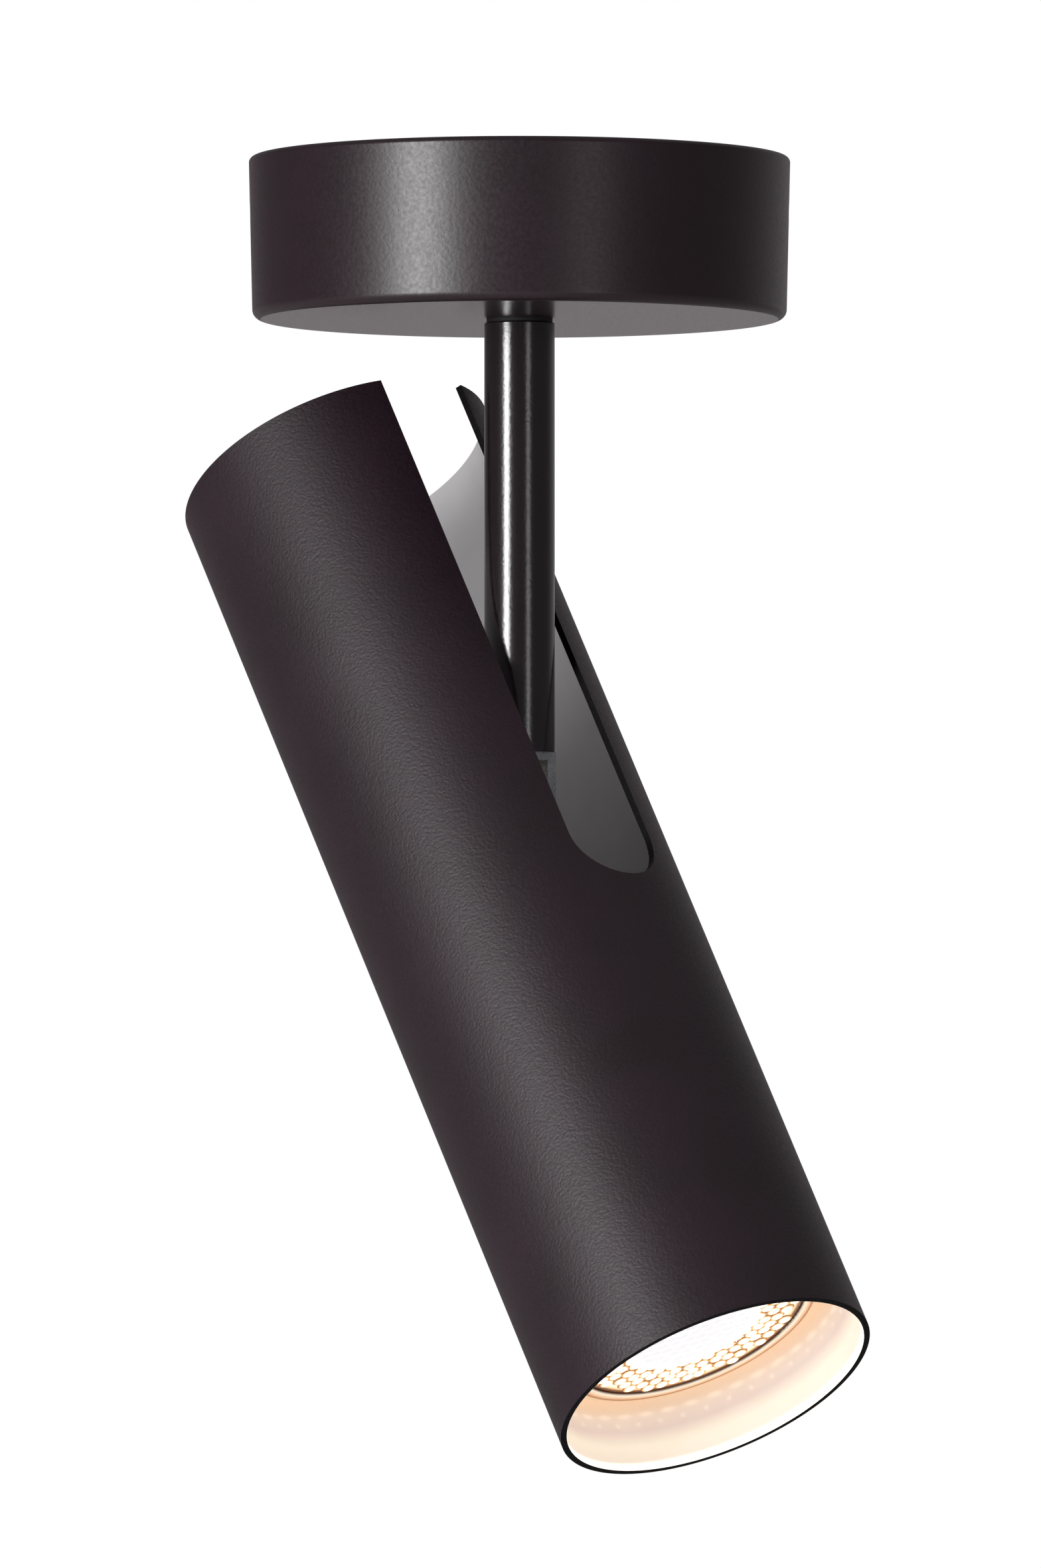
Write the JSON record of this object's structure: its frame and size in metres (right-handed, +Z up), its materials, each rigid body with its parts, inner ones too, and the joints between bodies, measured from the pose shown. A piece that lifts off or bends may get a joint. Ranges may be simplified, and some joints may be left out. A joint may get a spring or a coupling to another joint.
{
  "type": "ceiling spot lamp",
  "caption": "Ceiling spot: a slotted black tube with a twist-lock reflector bulb tilts on a pivot inside it and swivels on a short stem under a round canopy.",
  "frame": {"origin": "centre of the canopy's rim, in the ceiling plane", "axes": "+Z up into the ceiling along the canopy's axis, X along the ceiling bracket; the picture looks along +Y"},
  "size_m": [0.1259, 0.1352, 0.2429],
  "materials": {
    "black_coat": "fine matt black powder coat; the lamp tube is white inside",
    "black_nylon": "plain black nylon",
    "zinc_steel": "bright zinc-plated steel",
    "spring_steel": "plain spring steel",
    "brass": "turned brass",
    "white_nylon": "natural white nylon",
    "ceramic": "unglazed cream ceramic",
    "rubber": "black rubber",
    "fibre": "red-brown vulcanised fibre",
    "cable_sheath": "white cable sheath",
    "lead_insulation": "insulated single leads",
    "nickel": "nickel plate",
    "bulb_white": "smooth white bulb neck",
    "bulb_glass": "pressed glass dish, metallised inside",
    "front_glass": "clear front glass with a ring of pressed lens dots, lit",
    "led": "yellow light source, lit",
    "board": "green circuit board"
  },
  "bodies": {
    "base": {"canopy": "black_coat", "ceiling_bracket": "zinc_steel", "canopy_screws": "black_coat", "terminal_block": "white_nylon", "terminal_inserts": "brass", "terminal_screws": "zinc_steel", "terminal_block_screw": "zinc_steel", "earth_lug": "nickel", "earth_screw": "brass", "canopy_leads": "lead_insulation", "swivel_stop_stud": "zinc_steel"},
    "arm": {"stem": "black_coat", "swivel_washer": "black_nylon", "stem_nipple": "zinc_steel", "bearing_washer": "white_nylon", "stop_washer": "zinc_steel", "disc_spring": "spring_steel", "swivel_nut": "zinc_steel", "stem_cable": "cable_sheath", "stem_fork": "zinc_steel", "pivot_bolt": "zinc_steel", "pivot_nut": "zinc_steel", "pivot_washers": "zinc_steel", "friction_washers": "fibre"},
    "head": {"lamp_tube": "black_coat", "carriage": "zinc_steel", "carriage_screws": "black_coat", "hinge_lug": "zinc_steel", "lug_screws": "zinc_steel", "lead_grommet": "rubber", "lampholder_leads": "lead_insulation", "head_earth_tag": "nickel", "head_earth_screw": "zinc_steel", "holder_spacers": "zinc_steel", "holder_screws": "zinc_steel", "holder_nuts": "zinc_steel", "lampholder_cap": "ceramic", "lampholder_body": "ceramic", "lampholder_contacts": "nickel"},
    "bulb": {"bulb_base": "bulb_white", "bulb_pins": "nickel", "bulb_driver": "board", "bulb_reflector": "bulb_glass", "bulb_led": "led", "bulb_lens": "front_glass"}
  },
  "joints": [
    {"name": "pan", "type": "hinge", "parent": "base", "child": "arm", "pos_m": [0, 0, 0], "axis": [0, 0, 1], "range_deg": [-170, 170]},
    {"name": "tilt", "type": "hinge", "parent": "arm", "child": "head", "pos_m": [0, 0, -0.1394], "axis": [-0.7547, -0.6561, 0], "range_deg": [-31.7, 58.3], "deforming": ["lampholder_leads"]},
    {"name": "bulb_twist", "type": "hinge", "parent": "head", "child": "bulb", "pos_m": [0.01648, -0.01896, -0.18007], "axis": [0.3447, -0.3966, -0.8508], "range_deg": [0, 25]}
  ]
}
